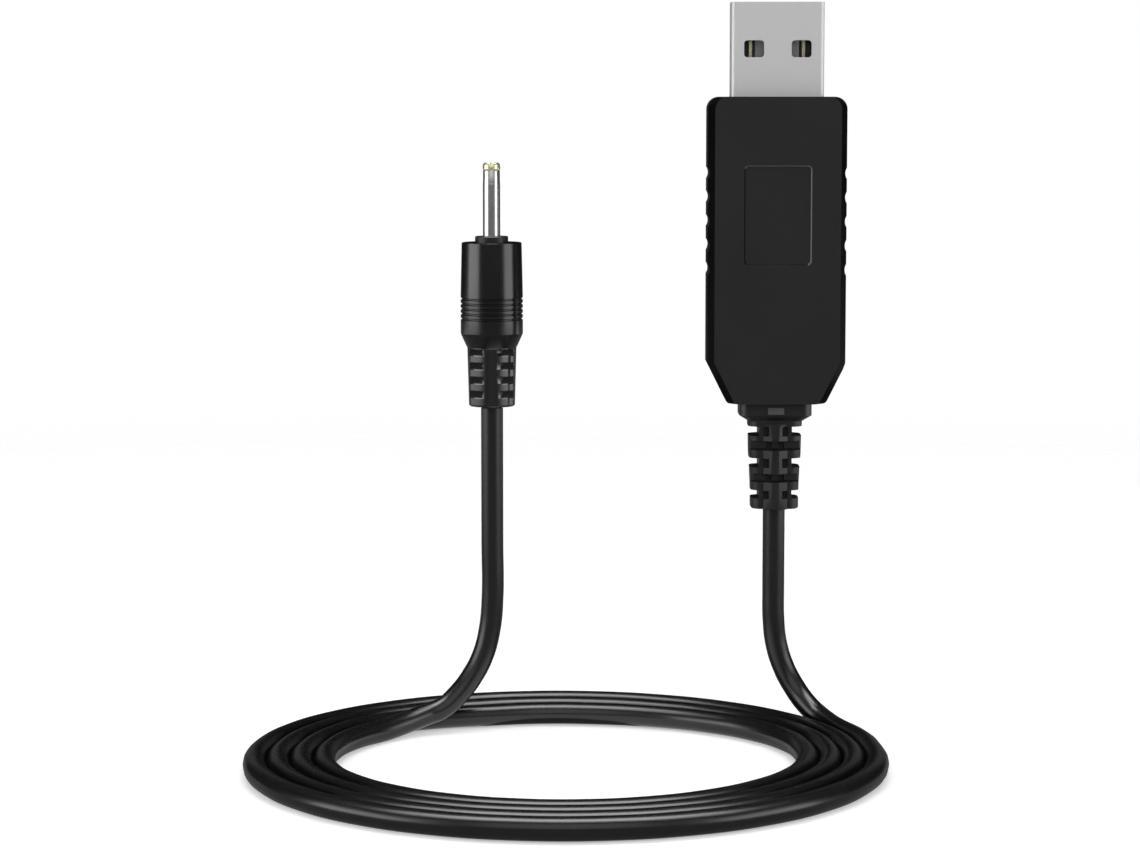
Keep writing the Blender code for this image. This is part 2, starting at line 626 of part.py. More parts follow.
def main():
    clear_scene()
    rubber = make_material("charcoal_rubber", (0.028, 0.028, 0.029), 0.55)
    plastic = make_material("charcoal_plastic", (0.024, 0.024, 0.025), 0.45)
    black = make_material("black_plastic", (0.008, 0.008, 0.009), 0.4)
    steel = make_material("bright_nickel", (0.62, 0.62, 0.63), 0.22, 1.0)
    gold = make_material("contact_gold", (0.83, 0.62, 0.25), 0.25, 1.0)
    ivory = make_material("ivory_insulator", (0.72, 0.74, 0.42), 0.5)
    board_green = make_material("board_green", (0.02, 0.16, 0.07), 0.5)
    dark = make_material("component_grey", (0.05, 0.05, 0.055), 0.6)
    ceramic = make_material("ceramic_tan", (0.45, 0.34, 0.2), 0.5)
    red = make_material("red_insulation", (0.5, 0.02, 0.02), 0.45)

    base = add_empty("lead_base", (0, 0, 0))
    coil = build_cord(base, rubber)
    corners = [v.co for v in coil.data.vertices]
    middle_x = (min(c.x for c in corners) + max(c.x for c in corners)) / 2
    middle_y = (min(c.y for c in corners) + max(c.y for c in corners)) / 2
    base.location = (-middle_x, -middle_y, 0)

    usb_axis = add_empty("usb_flex_axis", (USB_X, PLUG_Y, USB_FLEX_HEIGHT), base)
    build_usb_relief(usb_axis, rubber)
    build_housing(usb_axis, plastic)
    build_usb_connector(usb_axis, steel, black, gold)
    build_board(usb_axis, board_green, dark, ceramic, red, black)

    dc_axis = add_empty("dc_flex_axis", (DC_X, PLUG_Y, DC_FLEX_HEIGHT), base)
    build_dc_relief(dc_axis, rubber)
    build_dc_plug(dc_axis, rubber, black, steel, ivory, gold, red)

    bpy.context.view_layer.update()
    for axis in (usb_axis, dc_axis):
        x, y, z = axis.matrix_world.translation / MM
        print(f"{axis.name}: {x:.3f} {y:.3f} {z:.3f} mm")


main()
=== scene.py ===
# Looks of the USB charging lead: cord, plugs, reliefs, their finishes, floor and light
import math
import bmesh
import bpy
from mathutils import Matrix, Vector


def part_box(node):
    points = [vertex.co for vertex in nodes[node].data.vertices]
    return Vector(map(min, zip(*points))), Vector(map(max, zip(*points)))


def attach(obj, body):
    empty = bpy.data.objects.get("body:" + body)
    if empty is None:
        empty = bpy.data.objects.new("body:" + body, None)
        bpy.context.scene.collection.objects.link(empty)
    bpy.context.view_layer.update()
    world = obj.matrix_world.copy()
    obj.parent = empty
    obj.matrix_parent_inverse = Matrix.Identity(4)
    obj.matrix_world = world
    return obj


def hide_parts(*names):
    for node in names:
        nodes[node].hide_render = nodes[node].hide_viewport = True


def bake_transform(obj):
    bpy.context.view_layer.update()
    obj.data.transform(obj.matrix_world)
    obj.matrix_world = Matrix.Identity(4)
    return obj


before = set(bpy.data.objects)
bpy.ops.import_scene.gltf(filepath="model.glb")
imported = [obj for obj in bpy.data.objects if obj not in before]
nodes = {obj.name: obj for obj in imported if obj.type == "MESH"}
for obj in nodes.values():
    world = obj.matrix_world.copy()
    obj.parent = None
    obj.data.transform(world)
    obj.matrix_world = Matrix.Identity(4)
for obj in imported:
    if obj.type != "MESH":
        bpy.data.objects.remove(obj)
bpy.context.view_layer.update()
mm = 0.001
straight = 0.9                       # least cosine of a way that counts as along an axis
mergeGap = 0.002 * mm
cutGap = 0.001 * mm
pickGap = 0.01 * mm
bpy.context.scene.view_settings.view_transform = "Standard"
print("stage: frame loaded,", len(nodes), "nodes")


# small helpers

def middleOf(node):
    low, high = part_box(node)
    return (low + high) / 2


def deselectAll():
    if bpy.context.mode != "OBJECT":
        bpy.ops.object.mode_set(mode="OBJECT")
    bpy.ops.object.select_all(action="DESELECT")


def activate(piece):
    deselectAll()
    piece.select_set(True)
    bpy.context.view_layer.objects.active = piece


def settle(piece, name):
    # place, turn and scale go into the mesh
    activate(piece)
    piece.name = name
    piece.data.name = name
    bpy.ops.object.transform_apply(location=True, rotation=True, scale=True)
    return piece


def addBox(name, low, high):
    deselectAll()
    low, high = Vector(low), Vector(high)
    bpy.ops.mesh.primitive_cube_add(size=1, location=(low + high) / 2, scale=high - low)
    return settle(bpy.context.object, name)


def addRod(name, start, length, radius, sides=32, alongY=False):
    deselectAll()
    turn = (math.pi / 2, 0, 0) if alongY else (0, 0, 0)
    bpy.ops.mesh.primitive_cylinder_add(
        vertices=sides, radius=radius, depth=length, location=start, rotation=turn)
    return settle(bpy.context.object, name)


def editFaces(piece, test):
    # leaves edit mode on, with the faces that pass the test selected
    activate(piece)
    bpy.ops.object.mode_set(mode="EDIT")
    bpy.ops.mesh.select_mode(type="FACE")
    bpy.ops.mesh.select_all(action="DESELECT")
    shape = bmesh.from_edit_mesh(piece.data)
    for face in shape.faces:
        face.select_set(test(face.calc_center_median(), face.normal))
    bmesh.update_edit_mesh(piece.data)


def editEdges(piece, test):
    # leaves edit mode on, with the edges that pass the test selected
    activate(piece)
    bpy.ops.object.mode_set(mode="EDIT")
    bpy.ops.mesh.select_mode(type="EDGE")
    bpy.ops.mesh.select_all(action="DESELECT")
    shape = bmesh.from_edit_mesh(piece.data)
    for edge in shape.edges:
        first, second = edge.verts[0].co, edge.verts[1].co
        edge.select_set(test((first + second) / 2, (second - first).normalized()))
    bmesh.update_edit_mesh(piece.data)


def alongZ(middle, way):
    return abs(way.z) > straight


def alongY(middle, way):
    return abs(way.y) > straight


def bevelEdges(piece, test, width, segments):
    editEdges(piece, test)
    bpy.ops.mesh.bevel(offset=width, offset_type="OFFSET", segments=segments)
    bpy.ops.object.mode_set(mode="OBJECT")


def combine(piece, tools, operation):
    # each tool is used in a boolean of its own, and then removed
    for tool in tools:
        activate(piece)
        step = piece.modifiers.new("combine", "BOOLEAN")
        step.operation = operation
        step.solver = "EXACT"
        step.object = tool
        bpy.ops.object.modifier_apply(modifier=step.name)
        bpy.data.objects.remove(tool, do_unlink=True)


def cutAway(piece, *cutters):
    combine(piece, cutters, "DIFFERENCE")


def addOn(piece, *additions):
    combine(piece, additions, "UNION")


def joinAll(name, pieces):
    deselectAll()
    for piece in pieces:
        piece.select_set(True)
    bpy.context.view_layer.objects.active = pieces[0]
    bpy.ops.object.join()
    joined = bpy.context.object
    joined.name = name
    return joined


def softenEdges(piece, width, segments=2, angle=40):
    activate(piece)
    soften = piece.modifiers.new("soften", "BEVEL")
    soften.width = width
    soften.segments = segments
    soften.limit_method = "ANGLE"
    soften.angle_limit = math.radians(angle)
    soften.use_clamp_overlap = True
    bpy.ops.object.modifier_apply(modifier=soften.name)


def cleanMesh(piece, angle=32):
    activate(piece)
    bpy.ops.object.mode_set(mode="EDIT")
    bpy.ops.mesh.select_all(action="SELECT")
    bpy.ops.mesh.remove_doubles(threshold=mergeGap)
    bpy.ops.mesh.normals_make_consistent(inside=False)
    bpy.ops.object.mode_set(mode="OBJECT")
    bpy.ops.object.shade_smooth_by_angle(angle=math.radians(angle))
    # flat faces keep their own normal beside rounded edges
    weigh = piece.modifiers.new("weigh", "WEIGHTED_NORMAL")
    weigh.keep_sharp = True
    weigh.weight = 80
    bpy.ops.object.modifier_apply(modifier=weigh.name)


def drawHigher(rise):
    bpy.ops.mesh.extrude_region_move(TRANSFORM_OT_translate={"value": (0, 0, rise)})


def turnUp(name, foot, steps, sides):
    # a disc is added at the foot and drawn up step by step, each step a radius and a height
    deselectAll()
    firstRadius, firstHeight = steps[0]
    start = Vector((foot.x, foot.y, firstHeight))
    bpy.ops.mesh.primitive_circle_add(
        vertices=sides, radius=firstRadius, fill_type="NGON", location=start)
    piece = settle(bpy.context.object, name)
    bpy.ops.object.mode_set(mode="EDIT")
    bpy.ops.mesh.select_all(action="SELECT")
    lastRadius, lastHeight = firstRadius, firstHeight
    for radius, height in steps[1:]:
        drawHigher(height - lastHeight)
        share = radius / lastRadius
        bpy.ops.transform.resize(value=(share, share, 1), center_override=(foot.x, foot.y, height))
        lastRadius, lastHeight = radius, height
    bpy.ops.object.mode_set(mode="OBJECT")
    return piece


def drawUp(name, foot, steps, depthShare, corner):
    # a round-cornered box is drawn up step by step, each step a half width and a height
    lastHalf, firstHeight = steps[0]
    lastHeight = steps[1][1]
    depth = lastHalf * depthShare
    piece = addBox(
        name, (foot.x - lastHalf, foot.y - depth, firstHeight),
        (foot.x + lastHalf, foot.y + depth, lastHeight))
    bevelEdges(piece, alongZ, corner, segments=8)
    editFaces(piece, lambda middle, way: way.z > straight)
    for step, (half, height) in enumerate(steps[1:]):
        if step:
            drawHigher(height - lastHeight)
        share = half / lastHalf
        bpy.ops.transform.resize(value=(share, share, 1), center_override=(foot.x, foot.y, height))
        lastHalf, lastHeight = half, height
    bpy.ops.object.mode_set(mode="OBJECT")
    return piece


def dress(piece, finishName, body, stands):
    piece.data.materials.clear()
    piece.data.materials.append(finishes[finishName])
    if body:
        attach(piece, body)
    if stands:
        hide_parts(*stands)


# finishes, each from nodes on Object coordinates

driftStops = (0.35, 0.65)            # where a drift's two levels are reached on its noise
finishPlan = {
    # grain: a noise scale, a bump height, a detail and a stretch; drift: a noise scale and two levels
    "cordJacket": {
        "colour": (0.007, 0.007, 0.0072), "roughness": 0.3, "specular": 0.5, "grain": (2600, 0.004 * mm),
    },
    "satinFace": {
        "colour": (0.0161, 0.0161, 0.0164), "roughness": 0.62, "specular": 0.12,
        "grain": (5200, 0.006 * mm),
        "colourDrift": (90, (0.0155, 0.0155, 0.0158), (0.0167, 0.0167, 0.017)),
        "roughnessDrift": (260, 0.58, 0.66),
    },
    # painted shade: a near-black copy of the housing's plastic with little specular, for its steep bands
    "paintedShadeEdge": {
        "colour": (0.003, 0.003, 0.003), "roughness": 0.3, "specular": 0.03,
        "grain": (1800, 0.002 * mm),
        "roughnessDrift": (200, 0.26, 0.36),
    },
    "reliefRubber": {
        "colour": (0.008, 0.008, 0.0082), "roughness": 0.32, "specular": 0.5, "grain": (3200, 0.006 * mm),
        "colourDrift": (140, (0.0072, 0.0072, 0.0074), (0.0088, 0.0088, 0.009)),
        "roughnessDrift": (240, 0.3, 0.36),
    },
    "gripRubber": {
        "colour": (0.004, 0.004, 0.0042), "roughness": 0.22, "specular": 0.6, "grain": (2400, 0.003 * mm),
        "roughnessDrift": (160, 0.2, 0.24),
    },
    "ladderRubber": {
        "colour": (0.003, 0.003, 0.0032), "roughness": 0.18, "specular": 1.0, "grain": (2400, 0.003 * mm),
        "roughnessDrift": (160, 0.17, 0.2),
    },
    # the metals have faint drawing lines along the part
    "shellNickel": {
        "colour": (0.57, 0.57, 0.575), "roughness": 0.5, "metallic": 0.55,
        "grain": (1500, 0.0001 * mm, 2.0, (1, 1, 0.05)), "roughnessDrift": (300, 0.49, 0.51),
    },
    "barrelNickel": {
        "colour": (0.5, 0.5, 0.507), "roughness": 0.23, "metallic": 0.9,
        "grain": (1500, 0.00001 * mm, 2.0, (1, 1, 0.05)), "roughnessDrift": (300, 0.22, 0.24),
    },
    "contactGold": {
        "colour": (0.76, 0.68, 0.5), "roughness": 0.28, "metallic": 1.0,
        "grain": (1800, 0.001 * mm, 2.0, (1, 1, 0.08)), "roughnessDrift": (400, 0.24, 0.34),
    },
    "tipIvory": {
        "colour": (0.82, 0.83, 0.52), "roughness": 0.24, "metallic": 0.8, "specular": 0.4,
        "grain": (900, 0.00002 * mm), "colourDrift": (350, (0.76, 0.78, 0.44), (0.82, 0.83, 0.52)),
    },
    "boardMask": {
        "colour": (0.015, 0.13, 0.06), "roughness": 0.4, "specular": 0.5, "grain": (1500, 0.003 * mm),
    },
}
plainPlan = {
    # a darker and a lighter colour, and a roughness
    "tongueGrey": ((0.2, 0.2, 0.203), (0.24, 0.24, 0.243), 0.5),
    # painted highlight: a lighter grey for the housing panel's lit edges and the relief tab's front face
    "paintedHighlightGrey": ((0.06, 0.06, 0.061), (0.07, 0.07, 0.071), 0.3),
    "collarBlack": ((0.006, 0.006, 0.0065), (0.01, 0.01, 0.0105), 0.4),
    "componentDark": ((0.03, 0.03, 0.033), (0.05, 0.05, 0.055), 0.6),
    "componentTan": ((0.4, 0.29, 0.16), (0.48, 0.36, 0.22), 0.5),
    "wireRed": ((0.42, 0.015, 0.015), (0.5, 0.02, 0.02), 0.4),
    "wireBlack": ((0.008, 0.008, 0.008), (0.013, 0.013, 0.013), 0.4),
}
for plainName, (dark, light, roughness) in plainPlan.items():
    finishPlan[plainName] = {
        "colour": light, "roughness": roughness, "specular": 0.4, "grain": (2600, 0.003 * mm),
        "colourDrift": (350, dark, light),
    }


def startFinish(name, colour, roughness, metallic, specular):
    finish = bpy.data.materials.new(name)
    finish.use_nodes = True
    shader = finish.node_tree.nodes["Principled BSDF"]
    shader.inputs["Base Color"].default_value = (*colour, 1)
    shader.inputs["Roughness"].default_value = roughness
    shader.inputs["Metallic"].default_value = metallic
    shader.inputs["Specular IOR Level"].default_value = specular
    return finish, finish.node_tree, shader


def addNode(tree, kind, **settings):
    node = tree.nodes.new(kind)
    for key, value in settings.items():
        if key in node.inputs:
            node.inputs[key].default_value = value
        else:
            setattr(node, key, value)
    return node


def addGrain(tree, shader, place, scale, height, detail=3.0, stretch=(1, 1, 1)):
    # fine moulded grain as bump
    size = addNode(tree, "ShaderNodeMapping", Scale=stretch)
    noise = addNode(tree, "ShaderNodeTexNoise", Scale=scale, Detail=detail, Roughness=0.55)
    bump = addNode(tree, "ShaderNodeBump", Strength=1.0, Distance=height)
    tree.links.new(place.outputs["Object"], size.inputs["Vector"])
    tree.links.new(size.outputs["Vector"], noise.inputs["Vector"])
    tree.links.new(noise.outputs["Fac"], bump.inputs["Height"])
    tree.links.new(bump.outputs["Normal"], shader.inputs["Normal"])


rangeSockets = ("From Min", "From Max", "To Min", "To Max")


def addRamp(tree, stops, colours):
    ramp = addNode(tree, "ShaderNodeValToRGB")
    for element, stop, colour in zip(ramp.color_ramp.elements, stops, colours):
        element.position = stop
        element.color = (*colour, 1)
    return ramp


def addDrift(tree, shader, place, socket, scale, low, high):
    # a slow change of roughness, or of grey level, over the surface
    noise = addNode(tree, "ShaderNodeTexNoise", Scale=scale, Detail=2.0)
    ramp = addRamp(tree, driftStops, (low, high))
    tree.links.new(place.outputs["Object"], noise.inputs["Vector"])
    tree.links.new(noise.outputs["Fac"], ramp.inputs["Fac"])
    tree.links.new(ramp.outputs["Color"], shader.inputs[socket])


def makeFinish(name):
    plan = finishPlan[name]
    finish, tree, shader = startFinish(
        name, plan["colour"], plan["roughness"], plan.get("metallic", 0.0), plan.get("specular", 0.5))
    place = addNode(tree, "ShaderNodeTexCoord")
    addGrain(tree, shader, place, *plan["grain"])
    if "colourDrift" in plan:
        addDrift(tree, shader, place, "Base Color", *plan["colourDrift"])
    if "roughnessDrift" in plan:
        scale, low, high = plan["roughnessDrift"]
        addDrift(tree, shader, place, "Roughness", scale, (low,) * 3, (high,) * 3)
    return finish, tree, shader, place


jacketPlan = {
    "polishHeights": (3 * mm, 12 * mm),
    "polish": (0.26, 0.3),           # the coil is glossier than the rising ends
    # painted shade between the coil's turns: its reach, its ramp stops and its darkest colour
    "paintedShadeReach": 2.5 * mm,
    "paintedShadeStops": (0.78, 0.99),
    "paintedShadeColour": (0.0004, 0.0004, 0.0004),
}


def makeCordJacket():
    plan = jacketPlan
    finish, tree, shader, place = makeFinish("cordJacket")
    split = addNode(tree, "ShaderNodeSeparateXYZ")
    polish = addNode(tree, "ShaderNodeMapRange", interpolation_type="SMOOTHSTEP")
    for socket, value in zip(rangeSockets, (*plan["polishHeights"], *plan["polish"])):
        polish.inputs[socket].default_value = value
    tree.links.new(place.outputs["Object"], split.inputs["Vector"])
    tree.links.new(split.outputs["Z"], polish.inputs["Value"])
    tree.links.new(polish.outputs["Result"], shader.inputs["Roughness"])
    # painted shade: the base colour darkens to near black where the cord's own turns crowd each other,
    # read from an ambient occlusion node
    hollow = addNode(
        tree, "ShaderNodeAmbientOcclusion", Distance=plan["paintedShadeReach"], samples=8, only_local=True)
    shade = addRamp(tree, plan["paintedShadeStops"], (plan["paintedShadeColour"], finishPlan["cordJacket"]["colour"]))
    tree.links.new(hollow.outputs["AO"], shade.inputs["Fac"])
    tree.links.new(shade.outputs["Color"], shader.inputs["Base Color"])
    return finish


boardPlan = {
    "trackScale": 420.0,
    "maskDark": (0.012, 0.12, 0.05, 1),
    "maskLight": (0.016, 0.15, 0.065, 1),
    "track": (0.05, 0.26, 0.12, 1),
}


def makeBoardMask():
    # green solder mask with copper tracks showing through as a lighter grid
    finish, tree, shader, place = makeFinish("boardMask")
    tracks = addNode(
        tree, "ShaderNodeTexBrick", Scale=boardPlan["trackScale"], Color1=boardPlan["maskDark"],
        Color2=boardPlan["maskLight"], Mortar=boardPlan["track"])
    turn = addNode(tree, "ShaderNodeMapping", Rotation=(math.pi / 2, 0, 0))
    tree.links.new(place.outputs["Object"], turn.inputs["Vector"])
    tree.links.new(turn.outputs["Vector"], tracks.inputs["Vector"])
    tree.links.new(tracks.outputs["Color"], shader.inputs["Base Color"])
    return finish


finishes = {"cordJacket": makeCordJacket(), "boardMask": makeBoardMask()}
for finishName in finishPlan:
    if finishName not in finishes:
        finishes[finishName] = makeFinish(finishName)[0]
print("stage:", len(finishes), "finishes made")


# camera, floor and light

view = {
    "place": (0.46 * mm, -386.1 * mm, 83.1 * mm),
    "pitch": 0.104,                  # radians below level
    "lens": 100.1,                   # on a 36 mm wide frame
    "sensor": 36.0,
    "clip": (0.01, 200),
}


def makeCamera():
    deselectAll()
    bpy.ops.object.camera_add(location=view["place"], rotation=(math.pi / 2 - view["pitch"], 0, 0))
    camera = bpy.context.object
    camera.name = "photoCamera"
    camera.data.lens = view["lens"]
    camera.data.sensor_width = view["sensor"]
    camera.data.clip_start, camera.data.clip_end = view["clip"]
    bpy.context.scene.camera = camera


studio = {
    "floorRadius": 3.0,
    "floorSides": 96,
    "floorColour": (0.86, 0.86, 0.86),
    "floorFade": (0.16, 0.5),        # the floor thins out to the white surround between these radii
    "floorLift": 0.42,               # keeps the floor white to the camera
    "ambient": 0.4,
    "target": (0, 0.01, 0.045),
    "boxSize": (0.62, 0.4),
    "boxPlace": (0.72, -0.22, 0.1),
    "boxPower": {"leftBox": 2.0, "rightBox": 1.5},
    "fillSize": (0.8, 0.5),
    "fillPlace": (0, -0.75, 0.4),
    "fillPower": 2.6,
    "topSize": (0.5, 0.22),
    "topPlace": (0, -0.05, 0.8),
    "topPower": 1.6,
    # cards, each a middle, a width, a height or depth, and a glow that fades towards both ends
    "cardColour": (0.01, 0.01, 0.01),
    "glowFade": (0.1, 0.5),
    "standingCards": {
        "frontCard": ((0, -0.75, 0.02), 1.66, 0.24, 0),
        "frontGlow": ((0, -0.75, 0.57), 1.66, 0.86, 1.0),
        "rearCard": ((0, 0.75, 0.95), 8.0, 2.1, 0),
        "rearLeft": ((-0.22, 0.74, 0.12), 0.34, 0.34, 0.1),
        "rearRight": ((0.22, 0.74, 0.12), 0.34, 0.34, 0.1),
    },
    "flatCards": {
        "floorCard": ((0, 0, 0.00005), 1.66, 1.5, 0.2),
        "leftSheen": ((-0.5, -0.08, 0.0001), 0.76, 0.7, 1.5),
        "rightSheen": ((0.5, -0.08, 0.0001), 0.76, 0.7, 2.2),
        "ringSheen": ((0, 0.012, 0.0002), 0.07, 0.03, 1.1),
        "topGlow": ((0, 0, 0.8), 1.6, 0.42, 8.5),
        "ceilingCard": ((0, 0, 1.0), 3.0, 1.5, 0),
    },
}


def cameraOrGlossy(tree):
    path = addNode(tree, "ShaderNodeLightPath")
    first = addNode(tree, "ShaderNodeMath", operation="MAXIMUM")
    second = addNode(tree, "ShaderNodeMath", operation="MAXIMUM")
    tree.links.new(path.outputs["Is Camera Ray"], first.inputs[0])
    tree.links.new(path.outputs["Is Glossy Ray"], first.inputs[1])
    tree.links.new(first.outputs[0], second.inputs[0])
    tree.links.new(path.outputs["Is Transmission Ray"], second.inputs[1])
    return second


def makeFloor():
    deselectAll()
    bpy.ops.mesh.primitive_circle_add(
        vertices=studio["floorSides"], radius=studio["floorRadius"], fill_type="NGON", location=(0, 0, 0))
    floor = bpy.context.object
    floor.name = "floor"
    finish, tree, shader = startFinish("paleFloor", studio["floorColour"], 0.9, 0.0, 0.0)
    lift = addNode(tree, "ShaderNodeMath", operation="MULTIPLY")
    lift.inputs[1].default_value = studio["floorLift"]
    tree.links.new(cameraOrGlossy(tree).outputs[0], lift.inputs[0])
    shader.inputs["Emission Color"].default_value = (1, 1, 1, 1)
    tree.links.new(lift.outputs[0], shader.inputs["Emission Strength"])
    place = addNode(tree, "ShaderNodeTexCoord")
    reach = addNode(tree, "ShaderNodeVectorMath", operation="LENGTH")
    fade = addNode(tree, "ShaderNodeMapRange", interpolation_type="SMOOTHSTEP")
    fade.inputs["From Min"].default_value, fade.inputs["From Max"].default_value = studio["floorFade"]
    clear = addNode(tree, "ShaderNodeBsdfTransparent")
    thinning = addNode(tree, "ShaderNodeMixShader")
    tree.links.new(place.outputs["Object"], reach.inputs[0])
    tree.links.new(reach.outputs["Value"], fade.inputs["Value"])
    tree.links.new(fade.outputs["Result"], thinning.inputs["Fac"])
    tree.links.new(shader.outputs["BSDF"], thinning.inputs[1])
    tree.links.new(clear.outputs["BSDF"], thinning.inputs[2])
    tree.links.new(thinning.outputs["Shader"], tree.nodes["Material Output"].inputs["Surface"])
    floor.data.materials.append(finish)


def makeWorld():
    world = bpy.data.worlds.new("studioWorld")
    bpy.context.scene.world = world
    world.use_nodes = True
    tree = world.node_tree
    background = tree.nodes["Background"]
    background.inputs["Color"].default_value = (1, 1, 1, 1)
    level = addNode(tree, "ShaderNodeMix")
    level.inputs["A"].default_value = studio["ambient"]
    level.inputs["B"].default_value = 1.0
    tree.links.new(cameraOrGlossy(tree).outputs[0], level.inputs["Factor"])
    tree.links.new(level.outputs["Result"], background.inputs["Strength"])


def addSoftLight(name, place, target, size, power):
    deselectAll()
    aim = (Vector(target) - Vector(place)).to_track_quat("-Z", "Y").to_euler()
    bpy.ops.object.light_add(type="AREA", location=place, rotation=aim)
    lamp = bpy.context.object
    lamp.name = name
    lamp.data.shape = "RECTANGLE"
    lamp.data.size, lamp.data.size_y = size
    lamp.data.energy = power
    return lamp


def makeLights():
    target = studio["target"]
    x, y, z = studio["boxPlace"]
    for name, side in (("leftBox", -1), ("rightBox", 1)):
        addSoftLight(name, (side * x, y, z), target, studio["boxSize"], studio["boxPower"][name])
    top = addSoftLight("topSoft", studio["topPlace"], target, studio["topSize"], studio["topPower"])
    fill = addSoftLight("frontFill", studio["fillPlace"], target, studio["fillSize"], studio["fillPower"])
    top.visible_glossy = False
    fill.visible_glossy = False


def addFadingGlow(tree, shader, glow):
    # full over the card's middle, none at its left and right ends
    place = addNode(tree, "ShaderNodeTexCoord")
    split = addNode(tree, "ShaderNodeSeparateXYZ")
    aside = addNode(tree, "ShaderNodeMath", operation="ABSOLUTE")
    fade = addNode(tree, "ShaderNodeMapRange", interpolation_type="SMOOTHSTEP")
    for socket, value in zip(rangeSockets, (*studio["glowFade"], glow, 0)):
        fade.inputs[socket].default_value = value
    shader.inputs["Emission Color"].default_value = (1, 1, 1, 1)
    tree.links.new(place.outputs["Object"], split.inputs["Vector"])
    tree.links.new(split.outputs["X"], aside.inputs[0])
    tree.links.new(aside.outputs[0], fade.inputs["Value"])
    tree.links.new(fade.outputs["Result"], shader.inputs["Emission Strength"])


def makeCards():
    # dark and glowing cards round the lead, seen in reflections only
    for group, turn in (("standingCards", math.pi / 2), ("flatCards", 0)):
        for name, (place, width, height, glow) in studio[group].items():
            finish, tree, shader = startFinish(name, studio["cardColour"], 0.9, 0.0, 0.0)
            addFadingGlow(tree, shader, glow)
            deselectAll()
            bpy.ops.mesh.primitive_plane_add(size=1, location=place, rotation=(turn, 0, 0))
            card = bpy.context.object
            card.name = name
            card.scale = (width, height, 1)
            card.data.materials.append(finish)
            card.visible_camera = False
            card.visible_diffuse = False
            card.visible_shadow = False


makeCamera()
makeFloor()
makeWorld()
makeLights()
makeCards()
print("stage: camera, floor and light set")


# the cord, one unbroken curve from relief to relief

cord = {
    "diameter": 2.8 * mm,
    "seenDiameter": 2.88 * mm,       # so that the turns touch
    "length": 0.869,
    "pitch": 2.87 * mm,
    "lift": 0.12 * mm,
    "outerRadius": 39.23 * mm,
    "startAngle": math.radians(8.0),
    "sweep": math.radians(1308.0),
    # the inner turns lie slack behind the middle, most on the third turn
    "tuck": 2.7 * mm,
    "tuckTurns": (math.radians(278.0), math.radians(998.0), math.radians(1100.0)),
    "tuckRise": (math.radians(15.0), math.radians(85.0)),
    "tuckFall": (math.radians(112.0), math.radians(140.0)),
    "pointsPerLoop": 24,
    "roundness": 6,
    "smoothness": 8,
    "leavingTurn": math.radians(9.0),
    "usbClimb": 0.0,
    "usbRun": 5.2 * mm,
    "dcClimb": math.radians(10.0),
    "dcRun": 5.9 * mm,
    "usbX": 27.85 * mm,              # the USB plug's axis, from the coil's own middle
    "plugY": 24.9 * mm,
    # the routes down from each relief to the coil, in mm from the coil's own middle
    "usbRoute": [
        (27.85, 24.9, 29.4), (27.85, 24.9, 24.0), (27.85, 24.9, 18.8), (27.9, 24.9, 15.0),
        (28.3, 25.1, 11.6), (29.3, 25.1, 8.4), (30.55, 24.55, 6.05), (32.15, 23.2, 3.9),
        (34.2, 20.7, 2.3),
    ],
    "dcRoute": [
        (-9.0, 24.9, 42.7), (-9.0, 24.9, 34.0), (-9.0, 24.9, 25.0), (-9.0, 24.9, 17.6),
        (-9.4, 24.9, 13.4), (-10.3, 24.7, 10.0), (-11.7, 24.4, 7.3), (-13.5, 23.9, 5.0),
        (-15.5, 23.2, 3.3),
    ],
}
usbMiddle = middleOf("usb_shell")
coilMiddle = Vector((usbMiddle.x - cord["usbX"], usbMiddle.y - cord["plugY"], 0))


def leavingWay(angle, climb, backwards):
    along = Vector((math.sin(angle), -math.cos(angle), 0))
    if backwards:
        along = -along
    return along * math.cos(climb) + Vector((0, 0, math.sin(climb)))


def smoothStep(low, high, value):
    share = min(max((value - low) / (high - low), 0), 1)
    return share * share * (3 - 2 * share)


def tuckAt(swept, angle):
    first, third, last = cord["tuckTurns"]
    if swept > last:
        return 0
    turned = angle % (2 * math.pi)
    window = smoothStep(*cord["tuckRise"], turned) * (1 - smoothStep(*cord["tuckFall"], turned))
    return cord["tuck"] * window * min(max((swept - first) / (third - first), 0), 1)


def coilLoops():
    steps = round(cord["sweep"] / (2 * math.pi) * cord["pointsPerLoop"])
    height = cord["seenDiameter"] / 2 + cord["lift"]
    points = []
    for step in range(steps + 1):
        swept = cord["sweep"] * step / steps
        angle = cord["startAngle"] - swept
        radius = cord["outerRadius"] - cord["pitch"] * swept / (2 * math.pi) - tuckAt(swept, angle)
        points.append(Vector((radius * math.cos(angle), radius * math.sin(angle), height)))
    return points


def makeCord():
    loops = coilLoops()
    usbWay = leavingWay(cord["startAngle"], cord["usbClimb"], True)
    dcWay = leavingWay(cord["startAngle"] - cord["sweep"] - cord["leavingTurn"], cord["dcClimb"], False)
    down = [Vector(point) * mm for point in cord["usbRoute"]]
    up = [Vector(point) * mm for point in reversed(cord["dcRoute"])]
    landing = loops[0] + usbWay * cord["usbRun"]
    rising = loops[-1] + dcWay * cord["dcRun"]
    points = [coilMiddle + point for point in (*down, landing, *loops, rising, *up)]
    line = bpy.data.curves.new("chargingCord", "CURVE")
    line.dimensions = "3D"
    line.bevel_depth = cord["seenDiameter"] / 2
    line.bevel_resolution = cord["roundness"]
    line.resolution_u = cord["smoothness"]
    line.use_fill_caps = True
    spline = line.splines.new("BEZIER")
    spline.bezier_points.add(len(points) - 1)
    for knot, point in zip(spline.bezier_points, points):
        knot.co = point
        knot.handle_left_type = "AUTO"
        knot.handle_right_type = "AUTO"
    piece = bpy.data.objects.new("chargingCord", line)
    bpy.context.collection.objects.link(piece)
    dress(piece, "cordJacket", "cord", ["cord_usb_drop", "cord_coil", "cord_dc_drop"])
    return piece, points


chargingCord, cordPoints = makeCord()
print("stage: cord laid through", len(cordPoints), "points")


# the USB plug's metal shell

